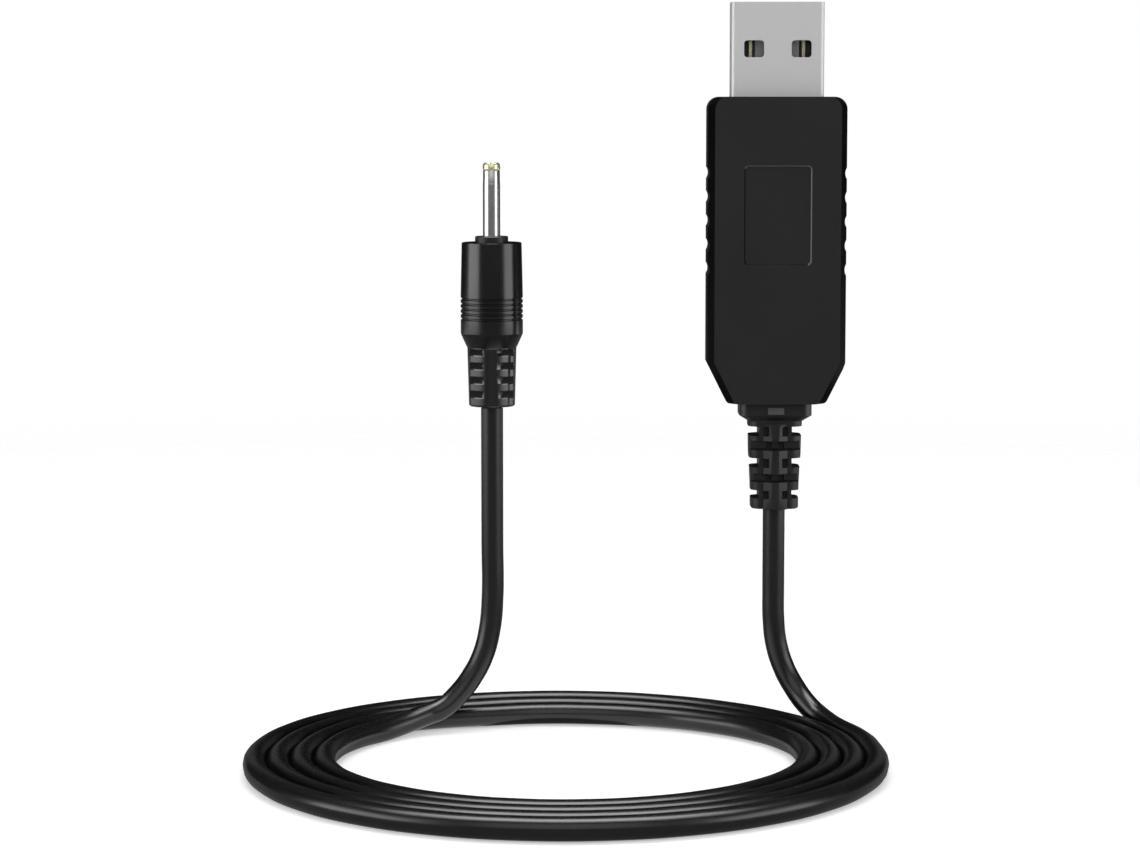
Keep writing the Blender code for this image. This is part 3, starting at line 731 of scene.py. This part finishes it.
shellPlan = {
    "wall": 0.3 * mm,
    "corner": 0.62 * mm,
    "windowWidth": 2.55 * mm,
    "windowHeight": 2.17 * mm,
    "windowX": 3.05 * mm,
    "windowDrop": 6.0 * mm,
    "windowCorner": 0.4 * mm,
    "windowReach": 4 * mm,           # through both wide faces
    "edge": 0.05 * mm,
    "seamWidth": 0.06 * mm,
    "seamDepth": 0.08 * mm,
}


def makeShell():
    plan = shellPlan
    low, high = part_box("usb_shell")
    shell = addBox("usbShellSkin", low, high)
    bevelEdges(shell, alongZ, plan["corner"], segments=6)
    # one bore runs through from the mouth to the open foot
    wall = plan["wall"]
    bore = addBox("shellBore", low + Vector((wall, wall, -mm)), high + Vector((-wall, -wall, mm)))
    bevelEdges(bore, alongZ, plan["corner"] - wall, segments=5)
    windows = []
    half = Vector((plan["windowWidth"] / 2, plan["windowReach"], plan["windowHeight"] / 2))
    for side in (-1, 1):
        middle = Vector((usbMiddle.x + side * plan["windowX"], usbMiddle.y, high.z - plan["windowDrop"]))
        window = addBox("shellWindow", middle - half, middle + half)
        bevelEdges(window, alongY, plan["windowCorner"], segments=4)
        windows.append(window)
    seamHalf = plan["seamWidth"] / 2
    seam = addBox(
        "shellSeam", (usbMiddle.x - seamHalf, high.y - plan["seamDepth"], low.z - mm),
        (usbMiddle.x + seamHalf, high.y + mm, high.z + mm))
    cutAway(shell, bore, *windows, seam)
    softenEdges(shell, plan["edge"], angle=50)
    cleanMesh(shell, angle=30)
    dress(shell, "shellNickel", "usb_plug", ["usb_shell"])


makeShell()
print("stage: shell made")


# the tongue's middle rib and the two outer contacts, seen through the windows

tonguePlan = {
    "ribHalf": 2.85 * mm,
    "ribFront": 0.12 * mm,           # in front of the plug's middle
    "ribBack": 0.2 * mm,
    "ribRise": 1 * mm,
    "ribDrop": 0.5 * mm,
    "crownX": 3.43 * mm,
    "crownWidth": 0.46 * mm,
    "edge": 0.09 * mm,
}


def makeTongueParts():
    plan = tonguePlan
    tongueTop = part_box("usb_insulator")[1].z
    x, y = usbMiddle.x, usbMiddle.y
    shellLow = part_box("usb_shell")[0].z
    rib = addBox(
        "tongueRib", (x - plan["ribHalf"], y - plan["ribFront"], shellLow + plan["ribRise"]),
        (x + plan["ribHalf"], y + plan["ribBack"], tongueTop - plan["ribDrop"]))
    softenEdges(rib, plan["edge"])
    cleanMesh(rib)
    dress(rib, "tongueGrey", "usb_plug", [])
    for node in ("usb_contact_power", "usb_contact_ground"):
        low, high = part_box(node)
        middle = x + math.copysign(plan["crownX"], (low.x + high.x) / 2 - x)
        crown = addBox(
            node.replace("usb_contact_", "") + "Crown", (middle - plan["crownWidth"] / 2, low.y, low.z),
            (middle + plan["crownWidth"] / 2, y + plan["ribBack"], high.z))
        softenEdges(crown, plan["edge"], segments=3)
        cleanMesh(crown)
        dress(crown, "contactGold", "usb_plug", [node])


makeTongueParts()
print("stage: tongue parts made")


# the long USB housing, in two halves

housingPlan = {
    "chamferTop": 48.8 * mm,
    "footHalf": 6.35 * mm,
    "corner": 1.6 * mm,
    "footCorner": 0.4 * mm,
    "bandWidth": 0.85 * mm,
    "sideBandDepth": 1.9 * mm,
    "chamferBandDepth": 1.1 * mm,
    "seam": 0.05 * mm,
    "wall": 1.3 * mm,
    "notchCount": 5,
    "notchTop": 73.3 * mm,
    "notchPitch": 3.1 * mm,
    "notchDepth": 0.26 * mm,
    "notchRadius": 1.2 * mm,
    "notchLength": 14 * mm,          # through front and back
    "panelWidth": 8.4 * mm,
    "panelLow": 61.7 * mm,
    "panelHigh": 74.2 * mm,
    "panelCorner": 0.5 * mm,
    "panelDepth": 0.15 * mm,
    "panelFlare": 1 * mm,            # the panel's cutter widens outwards, so the panel's edge slopes
    # the room inside
    "floorWall": 1.9 * mm,
    "boardGap": 0.3 * mm,
    "frontPocketHalf": 5.9 * mm,
    "seatGap": 0.08 * mm,
    "neckHalf": (2.9 * mm, 2.4 * mm),
    # faces by their normal: steep ones, those of a band, which get painted shade, and the lit ones of the
    # panel's edge, which get a painted highlight
    "steep": (0.15, 0.97),
    "bandTilt": 0.35,
    "litTilt": 0.2,
    "panelReach": 5.04 * mm,
}


def bisectAway(piece, point, normal):
    editFaces(piece, lambda middle, way: True)
    bpy.ops.mesh.bisect(
        plane_co=point, plane_no=normal, use_fill=True, clear_outer=True, threshold=cutGap)
    bpy.ops.object.mode_set(mode="OBJECT")


def makeHousingHalf(name, node, facing):
    plan = housingPlan
    low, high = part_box(node)
    x = usbMiddle.x
    split = usbMiddle.y + facing * plan["seam"]
    face = low.y if facing < 0 else high.y
    half = addBox(name, (low.x, min(split, face), low.z), (high.x, max(split, face), high.z))
    slope = Vector((plan["chamferTop"] - low.z, 0, -(high.x - x - plan["footHalf"]))).normalized()
    outwards = []
    for side in (-1, 1):
        chamferWay = Vector((side * slope.x, 0, slope.z))
        footEdge = Vector((x + side * plan["footHalf"], face, low.z))
        sideEdge = Vector((high.x if side > 0 else low.x, face, high.z))
        bisectAway(half, footEdge, chamferWay)
        outwards.append((footEdge, chamferWay, plan["chamferBandDepth"]))
        outwards.append((sideEdge, Vector((side, 0, 0)), plan["sideBandDepth"]))
    # steep bands along the sides and the chamfers
    for edge, way, depth in outwards:
        steep = (way * depth + Vector((0, facing * plan["bandWidth"], 0))).normalized()
        bisectAway(half, edge - way * plan["bandWidth"], steep)
    bevelEdges(
        half, lambda middle, way: abs(way.z) < 0.05 and middle.z > high.z - pickGap
        and abs(middle.x - x) > high.x - x - mm, plan["corner"], segments=8)
    bevelEdges(
        half, lambda middle, way: abs(way.z) < 0.3 and middle.z < low.z + pickGap
        and abs(middle.x - x) > plan["footHalf"] - mm, plan["footCorner"], segments=5)
    notches = []
    reach = plan["notchRadius"] - plan["notchDepth"]
    for side in (-1, 1):
        for notch in range(plan["notchCount"]):
            height = plan["notchTop"] - notch * plan["notchPitch"]
            edgeX = high.x if side > 0 else low.x
            notches.append(addRod(
                "notch", (edgeX + side * reach, usbMiddle.y, height), plan["notchLength"],
                plan["notchRadius"], sides=40, alongY=True))
    cutAway(half, joinAll("notches", notches))
    return half, face


def hollowHalf(half, node, facing):
    # room for the board, the shell's seat and the relief's neck
    plan = housingPlan
    low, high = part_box(node)
    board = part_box("circuit_board")
    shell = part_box("usb_shell")
    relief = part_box("usb_strain_relief")
    x, y = usbMiddle.x, usbMiddle.y
    deep = y + facing * (abs((low.y if facing < 0 else high.y) - y) - plan["wall"])
    y0, y1 = sorted((deep, y - facing * mm))
    pocketHalf = board[1].x - x + plan["boardGap"] if facing > 0 else plan["frontPocketHalf"]
    pocket = addBox(
        "pocket", (x - pocketHalf, y0, low.z + plan["floorWall"]),
        (x + pocketHalf, y1, board[1].z + plan["boardGap"]))
    gap = plan["seatGap"]
    seat = addBox(
        "seat", (shell[0].x - gap, shell[0].y - gap, board[1].z),
        (shell[1].x + gap, shell[1].y + gap, high.z + mm))
    neckX, neckY = plan["neckHalf"]
    neck = addBox("neck", (x - neckX, y - neckY, low.z - mm), (x + neckX, y + neckY, relief[1].z))
    cutAway(half, pocket, seat, neck)


def housingFinish(face):
    # 0 for the satin faces, 1 for the steep bands, painted darker as shade, and 2 for the panel's lit
    # edges, painted lighter as a highlight
    plan = housingPlan
    low, high = plan["steep"]
    if not low < abs(face.normal.y) < high:
        return 0
    onPanel = (
        abs(face.center.x - usbMiddle.x) < plan["panelReach"] and face.center.y < usbMiddle.y
        and plan["panelLow"] - mm < face.center.z < plan["panelHigh"] + mm)
    if onPanel:
        return 2 if min(face.normal.x, face.normal.z) < -plan["litTilt"] else 1
    return 1 if abs(face.normal.x) > plan["bandTilt"] else 0


def makeHousing():
    plan = housingPlan
    front, face = makeHousingHalf("housingFront", "housing_front_cover", -1)
    hollowHalf(front, "housing_front_cover", -1)
    x = usbMiddle.x
    panel = addBox(
        "panel", (x - plan["panelWidth"] / 2, face - plan["panelFlare"], plan["panelLow"]),
        (x + plan["panelWidth"] / 2, face + plan["panelDepth"], plan["panelHigh"]))
    bevelEdges(panel, alongY, plan["panelCorner"], segments=5)
    editFaces(panel, lambda middle, way: way.y < -straight)
    reach = 2 * (plan["panelFlare"] + plan["panelDepth"])
    panelTall = plan["panelHigh"] - plan["panelLow"]
    bpy.ops.transform.resize(
        value=(1 + reach / plan["panelWidth"], 1, 1 + reach / panelTall),
        center_override=(x, face, (plan["panelHigh"] + plan["panelLow"]) / 2))
    bpy.ops.object.mode_set(mode="OBJECT")
    cutAway(front, panel)
    rear = makeHousingHalf("housingRear", "housing_rear_cover", 1)[0]
    hollowHalf(rear, "housing_rear_cover", 1)
    for half, node in ((front, "housing_front_cover"), (rear, "housing_rear_cover")):
        cleanMesh(half, angle=28)
        dress(half, "satinFace", "usb_plug", [node])
        # the darker edge finish is painted shade on the steep bands; the lighter grey is a painted
        # highlight on the panel's edges
        half.data.materials.append(finishes["paintedShadeEdge"])
        half.data.materials.append(finishes["paintedHighlightGrey"])
        for polygon in half.data.polygons:
            polygon.material_index = housingFinish(polygon)


makeHousing()
print("stage: housing made")


# the slotted relief under the USB housing

usbReliefPlan = {
    # half width and height in mm, from the cord up
    "steps": [
        (2.95, 29.7), (3.1, 29.85), (3.11, 31.6), (3.15, 33.0), (3.25, 35.1), (3.38, 37.0),
        (3.42, 39.2), (3.5, 40.5), (3.53, 41.4), (2.6, 43.0), (2.6, 45.8), (3.7, 45.8), (3.7, 47.3),
    ],
    "collarHalf": (4.7, 3.4),
    "collarFootHalf": (3.55, 2.75),
    "collarHeights": (41.22, 41.95, 43.55),
    "collarCorner": 1.3,
    "depthShare": 0.8,
    "corner": 1.35,
    "barHalf": 1.56,
    "barFlatHalf": 0.44,
    "barProud": (2.74, 3.34),        # where the bar's slanted faces start, and its flat front
    "barTop": 40.9,
    "core": 2.12,
    "slots": ((31.07, 32.15), (35.15, 36.36), (39.25, 40.5)),
    "slotPocket": (0.85, 1.6),
    "slotPocketFloor": 1.7,
    "recesses": ((33.25, 34.35), (37.4, 38.65)),
    "recessFloor": 2.0,
    "recessPocket": (0.47, 1.17),
    "recessPocketFloor": 1.2,
    "recessLine": 0.24,
    "recessLineFloor": 1.5,
    "tabHalf": 1.05,
    "tabHeights": (42.15, 43.05),
    "tabProud": 0.2,
    "tabSkin": 0.02 * mm,
    "reach": 7.0,                    # cutters end this far out
    "edge": 0.08 * mm,
}


def pairedBoxes(name, foot, across, outward, heights):
    # boxes mirrored left and right, and front and back, in mm from the plug's axis
    boxes = []
    for side in (-1, 1):
        for facing in (-1, 1):
            x0, x1 = sorted((side * across[0] * mm, side * across[1] * mm))
            y0, y1 = sorted((facing * outward[0] * mm, facing * outward[1] * mm))
            boxes.append(addBox(
                name, (foot.x + x0, foot.y + y0, heights[0] * mm),
                (foot.x + x1, foot.y + y1, heights[1] * mm)))
    return boxes


def makeCollar(foot):
    plan = usbReliefPlan
    halfX, halfY = (size * mm for size in plan["collarHalf"])
    low, bend, high = (height * mm for height in plan["collarHeights"])
    collar = addBox(
        "collar", (foot.x - halfX, foot.y - halfY, bend), (foot.x + halfX, foot.y + halfY, high))
    bevelEdges(collar, alongZ, plan["collarCorner"] * mm, segments=6)
    editFaces(collar, lambda middle, way: way.z < -straight)
    drawHigher(low - bend)
    shareX, shareY = (under / over for under, over in zip(plan["collarFootHalf"], plan["collarHalf"]))
    bpy.ops.transform.resize(value=(shareX, shareY, 1), center_override=(foot.x, foot.y, low))
    bpy.ops.object.mode_set(mode="OBJECT")
    return collar


def makeBar(foot, facing, low, high):
    # a flat front between two slanted faces
    plan = usbReliefPlan
    root, front = (depth * mm for depth in plan["barProud"])
    half = plan["barHalf"] * mm
    y0, y1 = sorted((0, facing * root))
    bar = addBox("bar", (foot.x - half, foot.y + y0, low), (foot.x + half, foot.y + y1, high))
    editFaces(bar, lambda middle, way: facing * way.y > straight)
    bpy.ops.mesh.extrude_region_move(TRANSFORM_OT_translate={"value": (0, facing * (front - root), 0)})
    bpy.ops.transform.resize(
        value=(plan["barFlatHalf"] / plan["barHalf"], 1, 1), center_override=(foot.x, foot.y, low))
    bpy.ops.object.mode_set(mode="OBJECT")
    return bar


def makeUsbRelief():
    plan = usbReliefPlan
    foot = Vector((usbMiddle.x, usbMiddle.y, 0))
    steps = [(radius * mm, height * mm) for radius, height in plan["steps"]]
    relief = drawUp("usbRelief", foot, steps, plan["depthShare"], plan["corner"] * mm)
    low, high = plan["steps"][0][1] * mm, plan["barTop"] * mm
    bars = [makeBar(foot, facing, low, high) for facing in (-1, 1)]
    tab = plan["tabHeights"]
    front = foot.y - (plan["collarHalf"][1] + plan["tabProud"]) * mm
    bars.append(addBox(
        "tab", (foot.x - plan["tabHalf"] * mm, front, tab[0] * mm),
        (foot.x + plan["tabHalf"] * mm, foot.y, tab[1] * mm)))
    addOn(relief, makeCollar(foot), *bars)
    far = plan["reach"]
    for heights in plan["slots"]:
        cutAway(relief, *pairedBoxes("slot", foot, (plan["core"], far), (-0.1, far), heights))
    for low, high in plan["recesses"]:
        for facing in (-1, 1):
            for floor, top in (
                    (plan["recessFloor"], high), (plan["recessLineFloor"], low + plan["recessLine"])):
                y0, y1 = sorted((facing * floor * mm, facing * far * mm))
                cutAway(relief, addBox(
                    "recess", (foot.x - far * mm, foot.y + y0, low * mm),
                    (foot.x + far * mm, foot.y + y1, top * mm)))
    for kind in ("slot", "recess"):
        across, floor = plan[kind + "Pocket"], plan[kind + "PocketFloor"]
        for heights in plan["slots" if kind == "slot" else "recesses"]:
            cutAway(relief, *pairedBoxes("pocket", foot, across, (floor, far), heights))
    softenEdges(relief, plan["edge"])
    cleanMesh(relief, angle=35)
    dress(relief, "reliefRubber", None, ["usb_strain_relief"])
    # painted highlight: the tab's front face gets a lighter grey, as if catching the light
    relief.data.materials.append(finishes["paintedHighlightGrey"])
    for face in relief.data.polygons:
        onTab = face.normal.y < -straight and face.center.y < front + plan["tabSkin"]
        face.material_index = 1 if onTab else 0
    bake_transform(relief)


makeUsbRelief()
print("stage: USB relief made")


# the barrel plug

barrelPlan = {
    "sides": 96,
    # grip, radius and height in mm; ring grooves are added between foot and top
    "gripFoot": [(3.2, 50.65), (3.3, 50.8), (3.98, 52.3), (4.05, 52.55)],
    "gripTop": [(3.9, 64.15), (3.87, 64.25), (3.78, 64.3), (2.3, 64.3), (2.3, 63.6)],
    "grooveCount": 5,
    "grooveLow": 54.4,
    "groovePitch": 0.65,
    "grooveDepth": 0.16,
    "grooveHalf": 0.16,
    "collar": [(2.15, 63.7), (2.15, 65.0), (2.05, 65.1), (1.16, 65.1), (1.16, 64.0)],
    "sleeve": [
        (1.125, 58.3), (1.125, 71.6), (1.115, 71.9), (1.095, 72.2), (1.09, 73.5), (1.06, 73.6),
        (0.86, 73.6), (0.85, 60.0),
    ],
    "tipRing": [
        (1.0, 73.55), (1.1, 73.65), (1.13, 73.8), (1.13, 74.2), (1.08, 74.42), (0.97, 74.57),
        (0.8, 74.6), (0.55, 74.6), (0.45, 74.45), (0.45, 73.7),
    ],
    "contact": [(0.55, 57.5), (0.55, 73.3), (0.5, 73.4), (0.4, 73.4), (0.35, 73.2), (0.35, 64.0)],
}


def barrelPiece(name, steps, finishName, node, foot, angle=35):
    steps = [(radius * mm, height * mm) for radius, height in steps]
    piece = turnUp(name, foot, steps, barrelPlan["sides"])
    cleanMesh(piece, angle)
    dress(piece, finishName, "dc_plug", [node])


def gripSteps():
    plan = barrelPlan
    steps = list(plan["gripFoot"])
    radius = steps[-1][0]
    floor = radius - plan["grooveDepth"]
    half = plan["grooveHalf"]
    for groove in range(plan["grooveCount"]):
        height = plan["grooveLow"] + groove * plan["groovePitch"]
        steps += [
            (radius, height - half), (floor, height - half / 3),
            (floor, height + half / 3), (radius, height + half),
        ]
    return steps + plan["gripTop"]


def makeBarrelPlug():
    plan = barrelPlan
    middle = middleOf("dc_grip")
    foot = Vector((middle.x, middle.y, 0))
    barrelPiece("barrelGrip", gripSteps(), "gripRubber", "dc_grip", foot, angle=25)
    barrelPiece("barrelCollar", plan["collar"], "collarBlack", "dc_inner_moulding", foot)
    barrelPiece("barrelSleeve", plan["sleeve"], "barrelNickel", "dc_sleeve", foot)
    barrelPiece("barrelTip", plan["tipRing"], "tipIvory", "dc_tip_ring", foot)
    barrelPiece("barrelContact", plan["contact"], "contactGold", "dc_centre_contact", foot)
    return foot


dcFoot = makeBarrelPlug()
print("stage: barrel plug made")


# the ladder relief under the barrel plug's grip

dcReliefPlan = {
    "foot": [(2.85, 43.0), (3.0, 43.15), (3.0045, 43.32)],
    "top": (3.2, 50.65),
    "rungs": (44.65, 46.5, 48.35, 50.15),
    "rungHalf": 0.4,
    "ringReach": 0.56,               # rings beside each rung's edges keep the ribs' faces straight
    "lastRing": 50.48,
    "sides": 64,
    "reach": 5.0,                    # cutters end this far out
    "pocketFar": 2.85,
    "pocketFloor": 0.9,
    # the spine's flank to its left and right: wall, chamfer, and how far forward the chamfer starts
    "flanks": {-1: (1.2, 0.2, 2.93), 1: (1.4, 0.65, 3.06)},
    "edge": 0.09 * mm,
}


def dcReliefSteps():
    plan = dcReliefPlan
    steps = list(plan["foot"])
    (footRadius, footHeight), (topRadius, topHeight) = steps[-1], plan["top"]
    for rung in plan["rungs"]:
        for height in (rung - plan["ringReach"], min(rung + plan["ringReach"], plan["lastRing"])):
            share = (height - footHeight) / (topHeight - footHeight)
            steps.append((footRadius + share * (topRadius - footRadius), height))
    return [(radius * mm, height * mm) for radius, height in (*steps, plan["top"])]


def makeDcRelief():
    plan = dcReliefPlan
    steps = dcReliefSteps()
    relief = turnUp("barrelRelief", dcFoot, steps, plan["sides"])
    cutters, chamfers = [], []
    for height in plan["rungs"]:
        low, high = (height - plan["rungHalf"]) * mm, (height + plan["rungHalf"]) * mm
        for side in (-1, 1):
            for facing in (-1, 1):
                near, chamfer, front = (size * mm for size in plan["flanks"][side * -facing])
                x0, x1 = sorted((side * near, side * plan["pocketFar"] * mm))
                y0, y1 = sorted((facing * plan["pocketFloor"] * mm, facing * plan["reach"] * mm))
                cutters.append(addBox(
                    "rung", (dcFoot.x + x0, dcFoot.y + y0, low), (dcFoot.x + x1, dcFoot.y + y1, high)))
                edge = dcFoot + Vector((side * near, facing * front, height * mm))
                chamfers.append(addRod("chamfer", edge, high - low, chamfer, sides=4))
    cutAway(relief, joinAll("rungs", cutters), joinAll("chamfers", chamfers))
    softenEdges(relief, plan["edge"])
    cleanMesh(relief, angle=35)
    dress(relief, "ladderRubber", None, ["dc_strain_relief"])
    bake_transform(relief)


makeDcRelief()
print("stage: barrel relief made")


# finishes of the pieces that keep their own solids

keptFinishes = {
    "usb_insulator": "collarBlack",
    "usb_contact_data_minus": "contactGold",
    "usb_contact_data_plus": "contactGold",
    "circuit_board": "boardMask",
    "power_inductor": "componentDark",
    "rectifier_diode": "componentDark",
    "converter_chip": "componentDark",
    "input_capacitor": "componentTan",
    "output_capacitor": "componentTan",
    "feedback_resistor_upper": "componentDark",
    "feedback_resistor_lower": "componentDark",
    "usb_positive_wire": "wireRed",
    "usb_negative_wire": "wireBlack",
    "dc_positive_wire": "wireRed",
    "dc_negative_wire": "wireBlack",
}
for nodeName, finishName in keptFinishes.items():
    nodes[nodeName].data.materials.clear()
    nodes[nodeName].data.materials.append(finishes[finishName])
print("stage: kept pieces finished")
